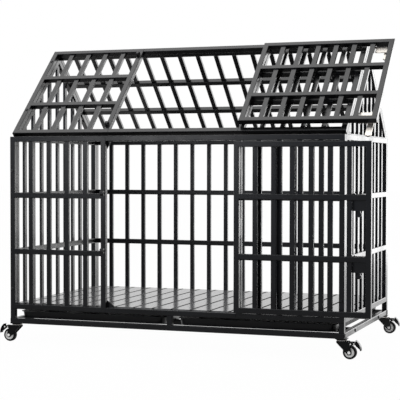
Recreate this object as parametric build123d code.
from build123d import *
import os
from math import cos, radians, sin, tan

os.makedirs("parts", exist_ok=True)

# Cage: outer sizes and the levels of its rails, above the underside of the base
cage_length = 1330.0
cage_width = 790.0
wall_top = 728.0
floor_rail_top = 76.0
lower_rail = 281.0
upper_rail = 499.5
wall_space_count = 17
side_space_count = 10
bay_space_count = 5

# Square tube and the flat bars welded between the tubes
tube = 20.0
tube_corner = 2.0
bar_face = 18.0
bar_depth = 10.0

# Roof: pitch of the two slopes, and where the front slope's outer face starts
roof_pitch = 43.2
eave_setback = 18.0
ridge_setback = 3.8
ridge_clearance = 0.5
gable_strip = 3.0

# Doors, their clearances and their crossbars
front_door_gap = 6.7
front_door_lift = 4.0
front_door_headroom = 25.0
front_door_rail_rise = 4.5
roof_door_gap = 4.0
roof_door_end_gap = 6.0
roof_door_lower_drop = 1.0
roof_door_upper_drop = 3.0
door_space_count = 7

# Hinges
knuckle_radius = 3.5
pin_radius = 2.0
running_fit = 0.05
front_axis_rise = 2.8
roof_axis_rise = 3.9
roof_axis_inset = 0.7
leaf_width = 19.0
leaf_thickness = 2.0
leaf_relief = 0.4
knuckle_length = 20.0
knuckle_gap = 0.3
pin_head_radius = 3.2
pin_head = 1.5
front_hinge_inset = 70.0
roof_hinge_inset = 54.0

# Slide bolts, their plates and their keepers
bolt_radius = 4.0
bolt_fit = 0.08
bolt_above_plate = 6.0
bolt_wall_gap = 5.7
bolt_tip_inset = 3.0
bolt_beside_rail = 7.0
plate_thickness = 2.5
plate_width = 67.0
plate_height = 56.0
plate_margin = 8.0
plate_corner = 4.0
ear_thickness = 5.0
ear_reach = 7.0
ear_above_bolt = 6.5
arm_thickness = 4.0
knob_thickness = 6.0
front_ears = (3.0, 3.0)
front_arm = (46.0, 10.0, 68.5, 9.0)
front_keeper = (17.3, 2.3)
roof_ears = (35.0, 0.0)
roof_arm = (22.5, 22.0, 65.0, 12.0)
roof_keeper = (18.3, 8.3)
keeper_reach = 9.0
keeper_bore_radius = 4.6
keeper_lip = 2.0

# Triangular door stops behind the front doorway
stop_thickness = 3.0
stop_top = (16.0, 27.0)
stop_bottom = (34.0, 25.0)

# Base, floor and trays
cross_bar_inset = 182.0
plank_pitch = 76.4
plank_gap = 3.0
plank_thickness = 3.0
floor_clearance = 0.5
bearer_count = 4
bearer_end = 30.0
tray_spacing = 65.0
tray_side_gap = 37.5
tray_height = 27.7
tray_lift = 0.3
tray_wall = 2.0
tray_rim = 6.0
tray_corner = 30.0
tray_draft = 8.0
tray_front_inset = 14.0
tray_back_inset = 22.0

# Through bolts that hold the panels together
screw_radius = 3.0
screw_fit = 0.1
screw_head_radius = 6.0
screw_head = 3.2
screw_bevel = 1.6
end_screw_length = 45.0
nut_radius = 5.5
nut_height = 4.5
wall_screw_low = 59.0
wall_screw_high = 134.0
slope_screw_low = 140.0
slope_screw_high = 67.0

# Swivel casters: places of the swivel axes, then the caster itself
caster_end_inset = 15.0
caster_side_inset = 28.0
wheel_radius = 25.0
wheel_width = 22.0
wheel_rim_radius = 19.5
wheel_trail = 30.0
axle_drop = 49.0
axle_radius = 4.0
axle_head_radius = 5.8
axle_head = 2.5
plate_side = 42.0
plate_sheet = 2.5
race_radius = 20.0
race_height = 3.7
race_gap = 0.3
kingpin_radius = 4.0
kingpin_head_radius = 6.5
kingpin_head = 3.2
fork_sheet = 2.5
cheek_gap = 1.0
cheek_boss = 9.5
cheek_top = 5.5
cheek_back = -17.0
cheek_front = 27.0
lower_race = 3.0
hub_boss_radius = 8.5
hub_recess_radius = 9.5
hub_web = 8.0
hub_rim = 1.5
tread_flat = 0.5
pedal_pivot = (47.4, -17.1)
pedal_ear_radius = 5.0
rivet_radius = 2.0
rivet_head_radius = 2.8
rivet_head = 1.0
stop_rivet = (35.0, -18.6)
pedal_curve = [(54.5, -6.2), (67.7, -23.3), (71.0, -42.0)]
pedal_under = (51.5, -26.5)
pedal_thickness = 3.0
pedal_width = 20.0
pedal_web = 8.0
pedal_knuckle_radius = 4.0

# Places worked out from the sizes above
half_length = cage_length / 2
half_width = cage_width / 2
bar_pitch = (cage_length - tube) / wall_space_count
side_pitch = (cage_width - 3 * tube) / side_space_count
jamb = half_length - tube - bay_space_count * bar_pitch
inside_x = half_length - tube
rail_y = half_width - tube
floor_rail_low = floor_rail_top - tube
deck_top = floor_rail_top + plank_thickness
wall_rails = [floor_rail_top - tube / 2, lower_rail, upper_rail, wall_top - tube / 2]
slope = radians(roof_pitch)
eave_y = -half_width + eave_setback
eave_z = wall_top + tube * cos(slope)
eave_inner_y = eave_y + tube * sin(slope)
front_slope = (-ridge_setback - eave_y) / cos(slope)
front_slope_rails = [tube / 2 + n * (front_slope - tube) / 3 for n in range(4)]
ridge_inner_y = eave_inner_y + front_slope * cos(slope)
ridge_inner_z = wall_top + front_slope * sin(slope)
back_slope = (-eave_y - ridge_inner_y) * cos(slope) + (ridge_inner_z - eave_z) * sin(slope) - ridge_clearance
back_slope_rails = [tube / 2 + n * (back_slope - tube) / 3 for n in range(4)]
front_door_edge = jamb - front_door_gap
front_axis = (jamb + front_door_edge) / 2
roof_door_edge = jamb - roof_door_gap
roof_axis = jamb - roof_axis_inset
roof_door_low = tube + roof_door_end_gap
roof_door_high = front_slope - roof_door_low
roof_door_rails = [roof_door_low + tube / 2, front_slope_rails[1] - roof_door_lower_drop,
                   front_slope_rails[2] - roof_door_upper_drop, roof_door_high - tube / 2]
front_door_low = floor_rail_top + front_door_lift
front_door_high = wall_top - front_door_headroom
front_door_rails = [front_door_low + tube / 2, lower_rail + front_door_rail_rise,
                    upper_rail + front_door_rail_rise, front_door_high - tube / 2]
bolt_length = 2 * front_axis - half_length - bolt_wall_gap + front_door_edge - bolt_tip_inset
tray_length = inside_x - tray_side_gap - tray_spacing / 2
tray_centre = (tray_length + tray_spacing) / 2
tray_front = tray_front_inset - half_width
tray_back = half_width - tray_back_inset
cross_bar_y = half_width - cross_bar_inset
caster_x = half_length - caster_end_inset
caster_y = half_width - caster_side_inset
crown_top = -plate_sheet - race_height - race_gap - lower_race
crown_bottom = crown_top - fork_sheet
cheek_inner = wheel_width / 2 + cheek_gap
cheek_outer = cheek_inner + fork_sheet

# Each panel is drawn with u across, v up and w out of its outer face, then placed on its plane
front_plane = Plane(origin=(0, -half_width, 0), x_dir=(1, 0, 0), z_dir=(0, -1, 0))
back_plane = Plane(origin=(0, half_width, 0), x_dir=(-1, 0, 0), z_dir=(0, 1, 0))
left_plane = Plane(origin=(-half_length, 0, 0), x_dir=(0, -1, 0), z_dir=(-1, 0, 0))
right_plane = Plane(origin=(half_length, 0, 0), x_dir=(0, 1, 0), z_dir=(1, 0, 0))
roof_plane = Plane(origin=(0, eave_y, eave_z), x_dir=(1, 0, 0), z_dir=(0, -sin(slope), cos(slope)))
back_roof_plane = Plane(origin=(0, -eave_y, eave_z), x_dir=(-1, 0, 0), z_dir=(0, sin(slope), cos(slope)))


def block(x0, x1, y0, y1, z0, z1):
    """A plain block between two opposite corners."""
    return Pos((x0 + x1) / 2, (y0 + y1) / 2, (z0 + z1) / 2) * Box(x1 - x0, y1 - y0, z1 - z0)


def rod(start, end, radius):
    """A round rod from one point to another."""
    start, end = Vector(*start), Vector(*end)
    return Solid.make_cylinder(radius, (end - start).length, Plane(origin=start, z_dir=end - start))


def tube_run(axis, *corners):
    """A length of square tube along one axis, with its rolled corners."""
    run = block(*corners)
    return fillet(run.edges().filter_by(axis), tube_corner)


def grille(u0, u1, rails, bars):
    """A welded panel: two stiles, a rail at each level, and flat bars midway in the thickness."""
    low, high = rails[0] - tube / 2, rails[-1] + tube / 2
    frame = block(u0, u1, low, high, -tube, 0)
    for below, above in zip(rails, rails[1:]):
        frame -= block(u0 + tube, u1 - tube, below + tube / 2, above - tube / 2, -tube, 0)
    faces = frame.faces().sort_by(Axis.Z)
    frame = fillet(faces[0].edges() + faces[-1].edges(), tube_corner)
    inset = (tube - bar_depth) / 2
    for u in bars:
        frame += block(u - bar_face / 2, u + bar_face / 2, rails[0], rails[-1], inset - tube, -inset)
    return frame


def bar_row(first, pitch, count):
    """Centres of evenly spaced bars that follow a stile centred at first."""
    return [first + pitch * k for k in range(1, count + 1)]


def screw(seat, direction, length, nut):
    """A low-headed screw, with a nut on its last few millimetres where nut is true."""
    profile = Polyline((0, -screw_head), (screw_head_radius - screw_bevel, -screw_head),
                       (screw_head_radius, -screw_head + screw_bevel), (screw_head_radius, 0),
                       (screw_radius, 0), (screw_radius, length), (0, length), close=True)
    body = revolve(Plane.XZ * make_face(profile), Axis.Z)
    if nut:
        body += Pos(0, 0, length - nut_height) * extrude(RegularPolygon(nut_radius, 6), nut_height)
    return Plane(origin=seat, z_dir=direction).location * body


def screw_hole(seat, direction, length):
    """The clearance hole for one of those screws."""
    start, way = Vector(*seat), Vector(*direction)
    return rod(start - way, start + way * (length + 1), screw_radius + screw_fit)


def wall_screws():
    """Front screws enter the front posts; back ones enter the side walls' rear stiles."""
    for x in (tube / 2 - half_length, half_length - tube / 2):
        for z in (floor_rail_top + wall_screw_low, wall_top - wall_screw_high):
            yield (x, -half_width, z), (0, 1, 0), 2 * tube + nut_height
            yield (x, half_width - 2 * tube, z), (0, 1, 0), 2 * tube + nut_height


def slope_screws():
    """Roof screws go through the end rafters into the gables' sloped tubes."""
    for x in (tube / 2 - half_length, half_length - tube / 2):
        for s in (slope_screw_low, front_slope - slope_screw_high):
            for side in (1, -1):
                y = side * (eave_y + s * cos(slope))
                way = (0, side * sin(slope), -cos(slope))
                yield (x, y, eave_z + s * sin(slope)), way, 2 * tube + nut_height


def base_screws():
    """Base screws go through the side rails into the ends of the cross bars."""
    for side in (-1, 1):
        for y in (-cross_bar_y, cross_bar_y):
            yield (side * half_length, y, tube / 2), (-side, 0, 0), end_screw_length


def gable():
    """A triangle of sloped tube on a thin strip, with bars in line with the side wall's."""
    foot = -eave_inner_y
    inner = foot - tube / sin(slope)
    middle = foot - tube / 2 / sin(slope)
    rise = tan(slope)
    outline = Polyline((-foot, wall_top), (0, wall_top + foot * rise), (foot, wall_top), (inner, wall_top),
                       (0, wall_top + inner * rise), (-inner, wall_top), close=True)
    frame = extrude(make_face(outline), -tube)
    faces = frame.faces().sort_by(Axis.Z)
    sloped = [e for e in faces[0].edges() + faces[-1].edges() if e.bounding_box().size.Y > 1]
    frame = fillet(sloped, tube_corner)
    frame += block(-inner - 1, inner + 1, wall_top, wall_top + gable_strip, -tube, 0)
    inset = (tube - bar_depth) / 2
    for u in bar_row(-half_width + 1.5 * tube, side_pitch, side_space_count - 1):
        top = wall_top + (middle - abs(u)) * rise
        frame += block(u - bar_face / 2, u + bar_face / 2, wall_top, top, inset - tube, -inset)
    return frame


def hinge(axis_u, axis_w, centre):
    """One butt hinge in a panel's frame: the frame's leaf, the door's leaf and the pin."""
    leaves = []
    half = 1.5 * knuckle_length + knuckle_gap
    for side, knuckles in ((1, (-1, 1)), (-1, (0,))):
        edge = axis_u + side * (knuckle_radius + leaf_relief)
        far = edge + side * leaf_width
        leaf = block(min(edge, far), max(edge, far), centre - half, centre + half, 0, leaf_thickness)
        for k in knuckles:
            v = centre + k * (knuckle_length + knuckle_gap)
            low, high = v - knuckle_length / 2, v + knuckle_length / 2
            leaf += block(min(axis_u, edge), max(axis_u, edge), low, high, 0, leaf_thickness)
            leaf += rod((axis_u, low, axis_w), (axis_u, high, axis_w), knuckle_radius)
        bore = rod((axis_u, centre - half, axis_w), (axis_u, centre + half, axis_w), pin_radius + running_fit)
        leaves.append(leaf - bore)
    pin = rod((axis_u, centre - half, axis_w), (axis_u, centre + half, axis_w), pin_radius)
    for way in (-1, 1):
        end = centre + way * half
        pin += rod((axis_u, end, axis_w), (axis_u, end + way * pin_head, axis_w), pin_head_radius)
    return leaves[0], leaves[1], pin


def latch(door_edge, v_bolt, plate_low, ears, arm):
    """A slide bolt in a panel's frame: its plate with two ears, and the bolt with its hanging arm."""
    tip = -door_edge + bolt_tip_inset
    w_bolt = plate_thickness + bolt_above_plate
    plate = block(tip, tip + plate_width, plate_low, plate_low + plate_height, 0, plate_thickness)
    plate = fillet(plate.edges().filter_by(Axis.Z), plate_corner)
    for back in (ears[0], plate_width - ear_thickness - ears[1]):
        ear = block(tip + back, tip + back + ear_thickness, v_bolt - ear_reach, v_bolt + ear_reach,
                    0, w_bolt + ear_above_bolt)
        ear = fillet(ear.edges().filter_by(Axis.X).sort_by(Axis.Z)[-2:], ear_reach - 1)
        plate += ear
    plate -= rod((tip - 1, v_bolt, w_bolt), (tip + plate_width + 1, v_bolt, w_bolt), bolt_radius + bolt_fit)
    back, width, length, end_radius = arm
    bolt = rod((tip, v_bolt, w_bolt), (tip + bolt_length, v_bolt, w_bolt), bolt_radius)
    bolt = chamfer(bolt.edges().sort_by(Axis.X)[0], bolt_radius / 4)
    u = tip + back
    bolt += block(u - width / 2, u + width / 2, v_bolt - length, v_bolt,
                  w_bolt - arm_thickness / 2, w_bolt + arm_thickness / 2)
    bolt += rod((u, v_bolt - length, w_bolt - knob_thickness / 2),
                (u, v_bolt - length, w_bolt + knob_thickness / 2), end_radius)
    return plate, bolt


def keeper(u0, u1, v_bolt):
    """The eye on the frame that takes the bolt's tip when the door is closed."""
    w_bolt = plate_thickness + bolt_above_plate
    eye = block(u0, u1, v_bolt - keeper_reach, v_bolt + keeper_reach, 0, w_bolt + ear_above_bolt)
    eye = fillet(eye.edges().filter_by(Axis.X).sort_by(Axis.Z)[-2:], keeper_reach - 2)
    eye += block(u0, u1, v_bolt - keeper_reach - keeper_lip, v_bolt + keeper_reach + keeper_lip,
                 0, plate_thickness)
    return eye - rod((u0 - 1, v_bolt, w_bolt), (u1 + 1, v_bolt, w_bolt), keeper_bore_radius)


def door_stop(corner_v, direction, wide, tall):
    """A triangular plate across a corner of the doorway, behind its left jamb."""
    seat = tube / 2
    steep = tall / wide
    u, v = -jamb - seat, corner_v + direction * seat
    reach_u, reach_v = wide + seat + seat / steep, tall + seat + seat * steep
    outline = Polyline((u, v), (u + reach_u, v), (u, v - direction * reach_v), close=True)
    return Pos(0, 0, -tube) * extrude(make_face(outline), -stop_thickness)


def tray(centre):
    """A drawn sheet pan: drafted walls, round corners and a flat rim."""
    depth = tray_back - tray_front - 2 * tray_rim
    length = tray_length - 2 * tray_rim
    top = tube + tray_lift + tray_height
    mouth = Plane.XY.offset(top) * RectangleRounded(length, depth, tray_corner)
    pan = extrude(mouth, -tray_height, taper=tray_draft)
    hollow_height = tray_height - tray_wall
    hollow = Plane.XY.offset(top) * RectangleRounded(length - 2 * tray_wall, depth - 2 * tray_wall,
                                                     tray_corner - tray_wall)
    rim = Plane.XY.offset(top) * RectangleRounded(tray_length, depth + 2 * tray_rim, tray_corner + tray_rim)
    pan = pan + extrude(rim, -tray_wall) - extrude(hollow, -hollow_height, taper=tray_draft)
    return Pos(centre, (tray_front + tray_back) / 2, 0) * pan


def caster_stem():
    """Top plate, upper bearing race and kingpin."""
    plate = block(-plate_side / 2, plate_side / 2, -plate_side / 2, plate_side / 2, -plate_sheet, 0)
    plate = fillet(plate.edges().filter_by(Axis.Z), plate_corner)
    race = rod((0, 0, -plate_sheet), (0, 0, -plate_sheet - race_height), race_radius)
    foot = crown_bottom - race_gap
    pin = rod((0, 0, -plate_sheet), (0, 0, foot), kingpin_radius)
    head = rod((0, 0, foot), (0, 0, foot - kingpin_head), kingpin_head_radius)
    return plate + race + pin + head


def cheek_profile():
    """Side view of a fork cheek: drawn in from the crown to the axle's boss, with an ear for the pedal."""
    top = Pos((cheek_back + cheek_front) / 2, crown_top - cheek_top / 2)
    top *= Rectangle(cheek_front - cheek_back, cheek_top)
    boss = Pos(wheel_trail, -axle_drop) * Circle(cheek_boss)
    px, pz = pedal_pivot
    ear = Circle(pedal_ear_radius)
    ear_root = Pos(cheek_front - pedal_ear_radius, pz) * ear
    return make_hull(top.edges() + boss.edges()) + make_hull(ear_root.edges() + (Pos(px, pz) * ear).edges())


def cross_pin(x, z, radius, head_radius, head):
    """A round pin across both cheeks, with a head on each outer face."""
    pin = rod((x, -cheek_outer, z), (x, cheek_outer, z), radius)
    for way in (-1, 1):
        pin += rod((x, way * cheek_outer, z), (x, way * (cheek_outer + head), z), head_radius)
    return pin


def caster_fork():
    """Crown with its lower race, two cheeks and two rivets; then the axle, a piece of its own."""
    standing = Plane(origin=(0, cheek_outer, 0), x_dir=(1, 0, 0), z_dir=(0, -1, 0))
    cheek = extrude(cheek_profile(), fork_sheet)
    fork = standing.location * cheek
    fork += Pos(0, -cheek_inner - cheek_outer, 0) * (standing.location * cheek)
    fork += block(cheek_back, race_radius, -cheek_outer, cheek_outer, crown_bottom, crown_top)
    fork += rod((0, 0, crown_top), (0, 0, crown_top + lower_race), race_radius - fork_sheet)
    fork -= rod((0, 0, crown_bottom - 1), (0, 0, crown_top + lower_race + 1), kingpin_radius + running_fit)
    x, z = wheel_trail, -axle_drop
    fork -= rod((x, -cheek_outer - 1, z), (x, cheek_outer + 1, z), axle_radius + running_fit)
    for place in (pedal_pivot, stop_rivet):
        fork += cross_pin(*place, rivet_radius, rivet_head_radius, rivet_head)
    return fork, cross_pin(x, z, axle_radius, axle_head_radius, axle_head)


def caster_hub():
    """Wheel centre: a long boss, a thin web and a rim that carries the tyre."""
    boss, rim = cheek_inner - race_gap, wheel_width / 2 - cheek_gap
    bore, inner = axle_radius + running_fit, wheel_rim_radius - hub_rim
    half = Polyline((bore, 0), (bore, boss), (hub_boss_radius, boss), (hub_recess_radius, hub_web),
                    (inner, hub_web), (inner, rim), (wheel_rim_radius, rim), (wheel_rim_radius, 0),
                    close=True)
    solid = revolve(make_face(half), Axis.Y)
    solid += mirror(solid, Plane.XZ)
    return Pos(wheel_trail, 0, -axle_drop) * solid


def caster_tyre():
    """Solid rubber tyre with a bevelled tread."""
    half = wheel_width / 2
    mid = (wheel_rim_radius + wheel_radius) / 2
    flat = half * tread_flat
    section = Polyline((wheel_rim_radius, -half), (mid, -half), (wheel_radius, -flat), (wheel_radius, flat),
                       (mid, half), (wheel_rim_radius, half), close=True)
    return Pos(wheel_trail, 0, -axle_drop) * revolve(make_face(section), Axis.Y)


def caster_brake():
    """Foot pedal that pivots between the fork's ears: a curved plate stiffened by a web."""
    px, pz = pedal_pivot
    over = ThreePointArc(*pedal_curve)
    under = ThreePointArc(*[(x - pedal_thickness, z) for x, z in reversed(pedal_curve)])
    plate = make_face([over, Line(over @ 1, under @ 0), under, Line(under @ 1, over @ 0)])
    web = make_face(Polyline(pedal_pivot, *pedal_curve, pedal_under, close=True))
    pedal = rod((px, -pedal_width / 2, pz), (px, pedal_width / 2, pz), pedal_knuckle_radius)
    for side, width in ((plate, pedal_width), (web, pedal_web)):
        standing = Plane(origin=(0, width / 2, 0), x_dir=(1, 0, 0), z_dir=(0, -1, 0))
        pedal += standing.location * extrude(side, width)
    return pedal - rod((px, -cheek_inner, pz), (px, cheek_inner, pz), rivet_radius + running_fit)


nodes = {}

# Walls: the front is two bays, a header and a sill round the doorway
bay_bars = bar_row(-half_length + tube / 2, bar_pitch, bay_space_count - 1)
all_bars = bar_row(-half_length + tube / 2, bar_pitch, wall_space_count - 1)
side_bars = bar_row(-half_width + 1.5 * tube, side_pitch, side_space_count - 1)
wall_holes = [screw_hole(*place) for place in wall_screws()]
slope_holes = [screw_hole(*place) for place in slope_screws()]
base_holes = [screw_hole(*place) for place in base_screws()]


def drilled(panel, holes):
    """A panel less the screw holes that pass through it."""
    for hole in holes:
        panel -= hole
    return panel


left_bay = front_plane.location * grille(-half_length, -jamb, wall_rails, bay_bars)
right_bay = front_plane.location * grille(jamb, half_length, wall_rails, [-u for u in bay_bars])
back_wall = back_plane.location * grille(-half_length, half_length, wall_rails, all_bars)
side_grille = grille(-half_width + tube, half_width - tube, wall_rails, side_bars)
nodes["front_left_bay"] = [drilled(left_bay, wall_holes)]
nodes["front_right_bay"] = [drilled(right_bay, wall_holes)]
for name, top in (("front_header", wall_top), ("front_sill", floor_rail_top)):
    nodes[name] = [front_plane.location * tube_run(Axis.X, -jamb, jamb, top - tube, top, -tube, 0)]
nodes["back_wall"] = [drilled(back_wall, wall_holes)]
nodes["left_wall"] = [drilled(left_plane.location * side_grille, wall_holes)]
nodes["right_wall"] = [drilled(right_plane.location * side_grille, wall_holes)]

# Roof: the front slope has a doorway too, and the gables close the ends
roof_left = roof_plane.location * grille(-half_length, -jamb, front_slope_rails, bay_bars)
roof_right = roof_plane.location * grille(jamb, half_length, front_slope_rails, [-u for u in bay_bars])
roof_back = back_roof_plane.location * grille(-half_length, half_length, back_slope_rails, all_bars)
nodes["roof_left_bay"] = [drilled(roof_left, slope_holes)]
nodes["roof_right_bay"] = [drilled(roof_right, slope_holes)]
for name, top in (("roof_eave_rail", tube), ("roof_ridge_rail", front_slope)):
    nodes[name] = [roof_plane.location * tube_run(Axis.X, -jamb, jamb, top - tube, top, -tube, 0)]
nodes["roof_back_panel"] = [drilled(roof_back, slope_holes)]
nodes["left_gable"] = [drilled(left_plane.location * gable(), slope_holes)]
nodes["right_gable"] = [drilled(right_plane.location * gable(), slope_holes)]
nodes["frame_screws"] = [screw(*place, True) for place in [*wall_screws(), *slope_screws()]]
nodes["frame_screws"] += [screw(*place, False) for place in base_screws()]

# Base: a ring of tube, short posts up to the floor rails, and two bars that carry the trays
nodes["base_front_rail"] = [tube_run(Axis.X, -half_length, half_length, -half_width, -rail_y, 0, tube)]
nodes["base_back_rail"] = [tube_run(Axis.X, -half_length, half_length, rail_y, half_width, 0, tube)]
nodes["base_side_rails"] = [drilled(tube_run(Axis.Y, x, x + tube, -rail_y, rail_y, 0, tube), base_holes)
                            for x in (-half_length, inside_x)]
post_places = [(x, y) for x in (-half_length, inside_x) for y in (-half_width, rail_y)]
post_places.append((-tube / 2, -half_width))
nodes["base_posts"] = [tube_run(Axis.Z, x, x + tube, y, y + tube, tube, floor_rail_low)
                       for x, y in post_places]
cross_bars = [tube_run(Axis.X, -inside_x, inside_x, y - tube / 2, y + tube / 2, 0, tube)
              for y in (-cross_bar_y, cross_bar_y)]
nodes["base_cross_bars"] = [drilled(bar, base_holes) for bar in cross_bars]

# Floor: planks that run front to back on cross bearers
deck_y = rail_y - stop_thickness - floor_clearance
deck_x = inside_x - floor_clearance
plank_count = 2 * int(deck_x // plank_pitch)
planks = []
for n in range(-plank_count // 2 - 1, plank_count // 2 + 1):
    x0 = max(n * plank_pitch + plank_gap / 2, -deck_x)
    x1 = min((n + 1) * plank_pitch - plank_gap / 2, deck_x)
    if x1 > x0:
        planks.append(block(x0, x1, -deck_y, deck_y, floor_rail_top, deck_top))
nodes["floor_planks"] = planks
bearer_span = 2 * (rail_y - bearer_end) / (bearer_count - 1)
bearer_places = [bearer_end - rail_y + n * bearer_span for n in range(bearer_count)]
nodes["floor_bearers"] = [tube_run(Axis.X, -inside_x, inside_x, y - tube / 2, y + tube / 2,
                                   floor_rail_low, floor_rail_top) for y in bearer_places]
nodes["tray_left"] = [tray(-tray_centre)]
nodes["tray_right"] = [tray(tray_centre)]


def opened(shape, plane, axis_u, axis_w):
    """A closed door's piece, placed on its panel and swung open through half a turn."""
    hinge_line = Axis((axis_u, 0, axis_w), (0, 1, 0))
    return plane.location * shape.rotate(hinge_line, 180)


def hang_door(prefix, frame_prefix, plane, edge, axis_u, axis_w, rails, hinges):
    """Add a door, its hinges and their pins, in the open pose."""
    pitch = (2 * edge - tube) / door_space_count
    door = grille(-edge, edge, rails, bar_row(-edge + tube / 2, pitch, door_space_count - 1))
    nodes[prefix] = [opened(door, plane, axis_u, axis_w)]
    parts = [hinge(axis_u, axis_w, v) for v in hinges]
    nodes[prefix + "_leaves"] = [opened(moving, plane, axis_u, axis_w) for fixed, moving, pin in parts]
    nodes[frame_prefix + "_leaves"] = [plane.location * fixed for fixed, moving, pin in parts]
    return [plane.location * pin for fixed, moving, pin in parts]


def fit_latch(name, plane, edge, axis_u, axis_w, v_bolt, plate_low, ears, arm, keeper_span):
    """Add a slide bolt on a door, in the open pose, and return its keeper on the frame."""
    plate, bolt = latch(edge, v_bolt, plate_low, ears, arm)
    nodes[name.replace("bolt", "latch")] = [opened(plate, plane, axis_u, axis_w)]
    nodes[name] = [opened(bolt, plane, axis_u, axis_w)]
    far, near = keeper_span
    return plane.location * keeper(-jamb - far, -jamb - near, v_bolt)


def hinge_levels(low, high, inset):
    """Centres of three hinges: near each end of the door, and midway."""
    return low + inset, (low + high) / 2, high - inset


pins = hang_door("front_door", "front_jamb", front_plane, front_door_edge, front_axis, front_axis_rise,
                 front_door_rails, hinge_levels(front_door_low, front_door_high, front_hinge_inset))
pins += hang_door("roof_door", "roof_rafter", roof_plane, roof_door_edge, roof_axis, roof_axis_rise,
                  roof_door_rails, hinge_levels(roof_door_low, roof_door_high, roof_hinge_inset))
nodes["hinge_pins"] = pins

# Each door has two slide bolts, and their keepers stand on the jamb beside them
keepers = []
for name, rail in (("front_bolt_lower", front_door_rails[1]), ("front_bolt_upper", front_door_rails[2])):
    keepers.append(fit_latch(name, front_plane, front_door_edge, front_axis, front_axis_rise,
                             rail + bolt_beside_rail, rail + plate_margin - plate_height,
                             front_ears, front_arm, front_keeper))
eave_bolt = roof_door_rails[0] + bolt_beside_rail
ridge_bolt = roof_door_rails[-1] - bolt_beside_rail
for name, v_bolt, low in (("roof_bolt_eave", eave_bolt, roof_door_rails[0] - plate_margin),
                          ("roof_bolt_ridge", ridge_bolt, roof_door_rails[-1] + plate_margin - plate_height)):
    keepers.append(fit_latch(name, roof_plane, roof_door_edge, roof_axis, roof_axis_rise,
                             v_bolt, low, roof_ears, roof_arm, roof_keeper))
nodes["bolt_keepers"] = keepers
nodes["door_stops"] = [front_plane.location * door_stop(wall_top - tube, 1, *stop_top),
                       front_plane.location * door_stop(floor_rail_top, -1, *stop_bottom)]

# Casters: the left pair trails to the left, the right pair to the right
caster_places = {"front_left": (-caster_x, -caster_y, 180), "front_right": (caster_x, -caster_y, 0),
                 "back_left": (-caster_x, caster_y, 180), "back_right": (caster_x, caster_y, 0)}
fork_parts, hub, tyre, brake, stem = caster_fork(), caster_hub(), caster_tyre(), caster_brake(), caster_stem()
nodes["caster_stems"] = []
for place, (x, y, turn) in caster_places.items():
    here = Location((x, y, 0), (0, 0, turn))
    nodes["caster_stems"].append(here * stem)
    nodes["fork_" + place] = [here * piece for piece in fork_parts]
    nodes["hub_" + place] = [here * hub]
    nodes["tyre_" + place] = [here * tyre]
    nodes["brake_" + place] = [here * brake]

# The part stands on its origin: the middle of its outline, at floor level
boxes = [piece.bounding_box() for pieces in nodes.values() for piece in pieces]
middle_x = (min(b.min.X for b in boxes) + max(b.max.X for b in boxes)) / 2
middle_y = (min(b.min.Y for b in boxes) + max(b.max.Y for b in boxes)) / 2
ground = min(b.min.Z for b in boxes)
seat = Location((-middle_x, -middle_y, -ground))
for node, pieces in nodes.items():
    export_step(Compound(children=[seat * piece for piece in pieces]), f"parts/{node}.step")
